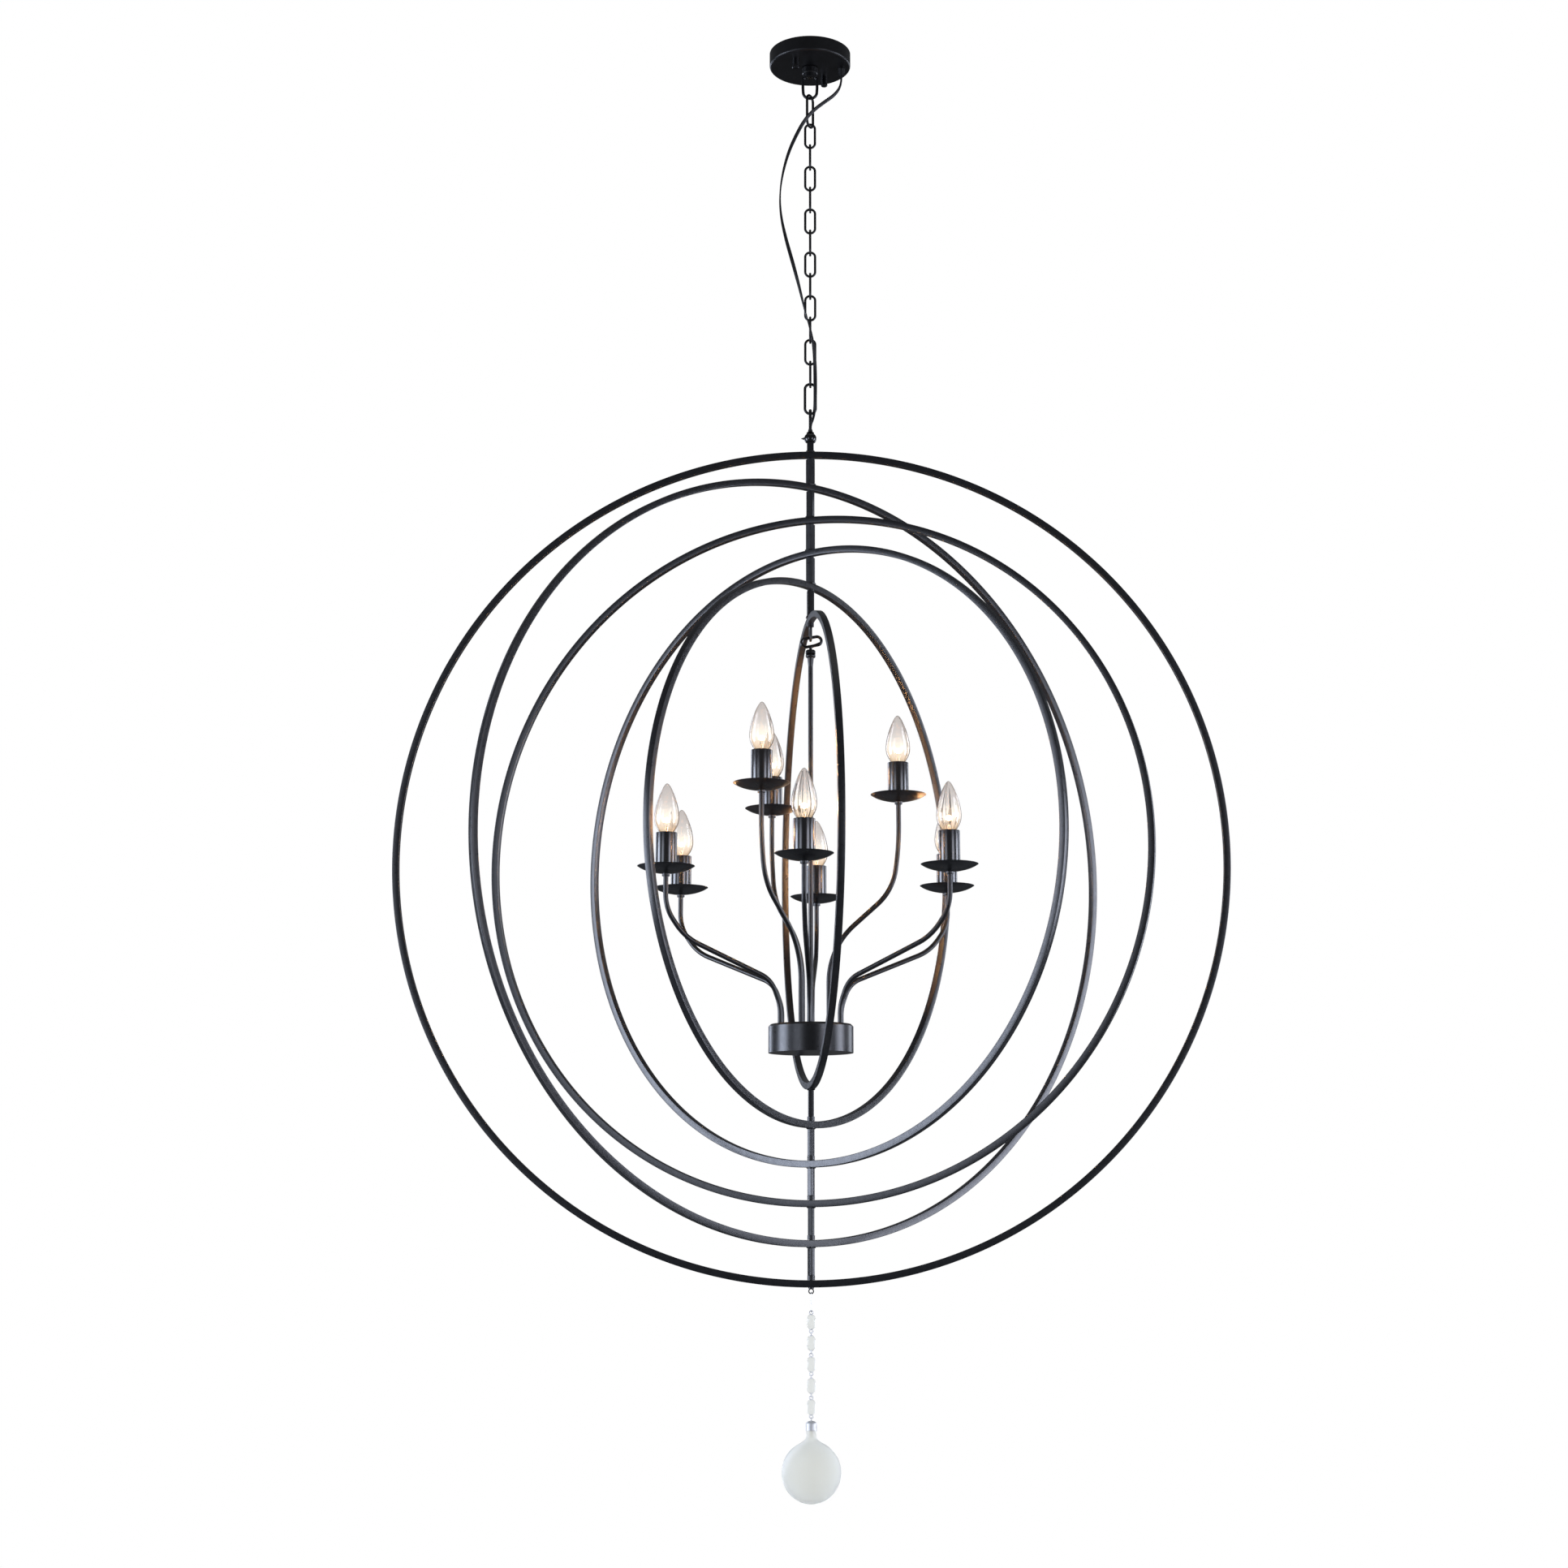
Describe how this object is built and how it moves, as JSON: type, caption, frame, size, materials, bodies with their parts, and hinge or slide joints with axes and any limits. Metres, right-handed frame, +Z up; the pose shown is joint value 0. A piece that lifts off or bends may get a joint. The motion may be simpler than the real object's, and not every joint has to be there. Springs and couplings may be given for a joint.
{
  "type": "orb chandelier",
  "caption": "Open orb chandelier of nested turning rings on an upright axis, hung by a chain from a round canopy, with a candle cluster inside and a bead string and glass ball below.",
  "frame": {"origin": "centre of the canopy's rim, in the plane of the ceiling, midway between the two ceiling-box screw slots", "axes": "+Z up into the ceiling, X along the ceiling-box screw slots and nearly along the largest ring, -Y towards the viewer of the picture"},
  "size_m": [1.1996, 0.6754, 2.1309],
  "materials": {
    "black_metal": "satin black powder coat",
    "plated_steel": "zinc plate",
    "black_cord": "black sheath, soft",
    "black_plastic": "moulded, matt",
    "clear_glass": "clear, polished",
    "bright_metal": "bright plated",
    "frosted_glass": "etched, pale",
    "sleeve_black": "semi-gloss black"
  },
  "bodies": {
    "canopy": {"box_strap": "plated_steel", "canopy_strap": "plated_steel", "canopy": "black_metal", "canopy_studs": "plated_steel", "cap_nuts": "black_metal", "canopy_nipple": "plated_steel", "locknut": "plated_steel", "canopy_collar": "black_metal", "canopy_loop": "black_metal", "cord_gland": "black_plastic", "supply_cord": "black_cord"},
    "link_01": {"chain_link_01": "black_metal"},
    "link_02": {"chain_link_02": "black_metal"},
    "link_03": {"chain_link_03": "black_metal"},
    "link_04": {"chain_link_04": "black_metal"},
    "link_05": {"chain_link_05": "black_metal"},
    "link_06": {"chain_link_06": "black_metal"},
    "link_07": {"chain_link_07": "black_metal"},
    "link_08": {"chain_link_08": "black_metal"},
    "link_09": {"chain_link_09": "black_metal"},
    "link_10": {"chain_link_10": "black_metal"},
    "link_11": {"chain_link_11": "black_metal"},
    "link_12": {"chain_link_12": "black_metal"},
    "link_13": {"chain_link_13": "black_metal"},
    "link_14": {"chain_link_14": "black_metal"},
    "stem": {"stem_loop": "black_metal", "stem_ball": "black_metal", "stem_screw": "black_metal", "ring_1": "black_metal", "bottom_eyelet": "black_metal"},
    "ring_2": {"ring_2": "black_metal", "ring_2_pivots": "black_metal"},
    "ring_3": {"ring_3": "black_metal", "ring_3_pivots": "black_metal"},
    "ring_4": {"ring_4": "black_metal", "ring_4_pivots": "black_metal"},
    "ring_5": {"ring_5": "black_metal", "ring_5_pivots": "black_metal"},
    "ring_6": {"ring_6": "black_metal", "ring_6_pivots": "black_metal", "inner_hook": "black_metal"},
    "cluster": {"cluster_shackle": "black_metal", "rod_coupler": "black_metal", "centre_rod": "black_metal", "hub_cup": "black_metal", "hub_lid": "black_metal", "lower_arms": "black_metal", "upper_arms": "black_metal", "drip_pans": "black_metal", "candle_sleeves": "sleeve_black", "lampholders": "black_plastic", "bulbs": "clear_glass"},
    "bead_hook": {"bead_hook": "bright_metal"},
    "bead_1": {"bead_1": "clear_glass"},
    "bead_2": {"bead_2": "clear_glass"},
    "bead_3": {"bead_3": "clear_glass"},
    "bead_4": {"bead_4": "clear_glass"},
    "bead_5": {"bead_5": "clear_glass"},
    "ball": {"ball_cap": "bright_metal", "glass_ball": "frosted_glass"}
  },
  "joints": [
    {"name": "link_01_swing", "type": "hinge", "parent": "canopy", "child": "link_01", "pos_m": [0, 0, -0.07475], "axis": [1, 0, 0], "range_deg": [-25, 25], "deforming": ["supply_cord"]},
    {"name": "link_02_swing", "type": "hinge", "parent": "link_01", "child": "link_02", "pos_m": [0, 0, -0.1232], "axis": [0.5, 0.866, 0], "range_deg": [-25, 25]},
    {"name": "link_03_swing", "type": "hinge", "parent": "link_02", "child": "link_03", "pos_m": [0, 0, -0.1585], "axis": [-1, 0, 0], "range_deg": [-25, 25]},
    {"name": "link_04_swing", "type": "hinge", "parent": "link_03", "child": "link_04", "pos_m": [0, 0, -0.194], "axis": [0, -1, 0], "range_deg": [-25, 25]},
    {"name": "link_05_swing", "type": "hinge", "parent": "link_04", "child": "link_05", "pos_m": [0, 0, -0.2295], "axis": [1, 0, 0], "range_deg": [-25, 25]},
    {"name": "link_06_swing", "type": "hinge", "parent": "link_05", "child": "link_06", "pos_m": [0, 0, -0.265], "axis": [0, 1, 0], "range_deg": [-25, 25]},
    {"name": "link_07_swing", "type": "hinge", "parent": "link_06", "child": "link_07", "pos_m": [0, 0, -0.3005], "axis": [-1, 0, 0], "range_deg": [-25, 25]},
    {"name": "link_08_swing", "type": "hinge", "parent": "link_07", "child": "link_08", "pos_m": [0, 0, -0.336], "axis": [0, -1, 0], "range_deg": [-25, 25]},
    {"name": "link_09_swing", "type": "hinge", "parent": "link_08", "child": "link_09", "pos_m": [0, 0, -0.3715], "axis": [1, 0, 0], "range_deg": [-25, 25]},
    {"name": "link_10_swing", "type": "hinge", "parent": "link_09", "child": "link_10", "pos_m": [0, 0, -0.407], "axis": [0, 1, 0], "range_deg": [-25, 25]},
    {"name": "link_11_swing", "type": "hinge", "parent": "link_10", "child": "link_11", "pos_m": [0, 0, -0.4425], "axis": [-1, 0, 0], "range_deg": [-25, 25]},
    {"name": "link_12_swing", "type": "hinge", "parent": "link_11", "child": "link_12", "pos_m": [0, 0, -0.478], "axis": [0, -1, 0], "range_deg": [-25, 25]},
    {"name": "link_13_swing", "type": "hinge", "parent": "link_12", "child": "link_13", "pos_m": [0, 0, -0.5135], "axis": [1, 0, 0], "range_deg": [-25, 25]},
    {"name": "link_14_swing", "type": "hinge", "parent": "link_13", "child": "link_14", "pos_m": [0, 0, -0.549], "axis": [0, 1, 0], "range_deg": [-25, 25]},
    {"name": "stem_swing", "type": "hinge", "parent": "link_14", "child": "stem", "pos_m": [0, 0, -0.5919], "axis": [-1, 0, 0], "range_deg": [-25, 25]},
    {"name": "ring_2_turn", "type": "hinge", "parent": "stem", "child": "ring_2", "pos_m": [0, 0, -1.25234], "axis": [0, 0, 1], "range_deg": [-180, 180]},
    {"name": "ring_3_turn", "type": "hinge", "parent": "ring_2", "child": "ring_3", "pos_m": [0, 0, -1.25234], "axis": [0, 0, 1], "range_deg": [-180, 180]},
    {"name": "ring_4_turn", "type": "hinge", "parent": "ring_3", "child": "ring_4", "pos_m": [0, 0, -1.25234], "axis": [0, 0, 1], "range_deg": [-180, 180]},
    {"name": "ring_5_turn", "type": "hinge", "parent": "ring_4", "child": "ring_5", "pos_m": [0, 0, -1.25234], "axis": [0, 0, 1], "range_deg": [-180, 180]},
    {"name": "ring_6_turn", "type": "hinge", "parent": "ring_5", "child": "ring_6", "pos_m": [0, 0, -1.25234], "axis": [0, 0, 1], "range_deg": [-180, 180]},
    {"name": "cluster_swing", "type": "hinge", "parent": "ring_6", "child": "cluster", "pos_m": [0, 0, -0.94209], "axis": [0.1253, -0.9921, 0], "range_deg": [-8, 8]},
    {"name": "bead_hook_swing", "type": "hinge", "parent": "stem", "child": "bead_hook", "pos_m": [0, 0, -1.86009], "axis": [1, 0, 0], "range_deg": [-25, 25]},
    {"name": "bead_1_swing", "type": "hinge", "parent": "bead_hook", "child": "bead_1", "pos_m": [0, 0, -1.88419], "axis": [0, 1, 0], "range_deg": [-25, 25]},
    {"name": "bead_2_swing", "type": "hinge", "parent": "bead_1", "child": "bead_2", "pos_m": [0, 0, -1.91179], "axis": [-1, 0, 0], "range_deg": [-25, 25]},
    {"name": "bead_3_swing", "type": "hinge", "parent": "bead_2", "child": "bead_3", "pos_m": [0, 0, -1.93939], "axis": [0, -1, 0], "range_deg": [-25, 25]},
    {"name": "bead_4_swing", "type": "hinge", "parent": "bead_3", "child": "bead_4", "pos_m": [0, 0, -1.96699], "axis": [1, 0, 0], "range_deg": [-25, 25]},
    {"name": "bead_5_swing", "type": "hinge", "parent": "bead_4", "child": "bead_5", "pos_m": [0, 0, -1.99459], "axis": [0, 1, 0], "range_deg": [-25, 25]},
    {"name": "ball_swing", "type": "hinge", "parent": "bead_5", "child": "ball", "pos_m": [0, 0, -2.02219], "axis": [-1, 0, 0], "range_deg": [-25, 25]}
  ]
}
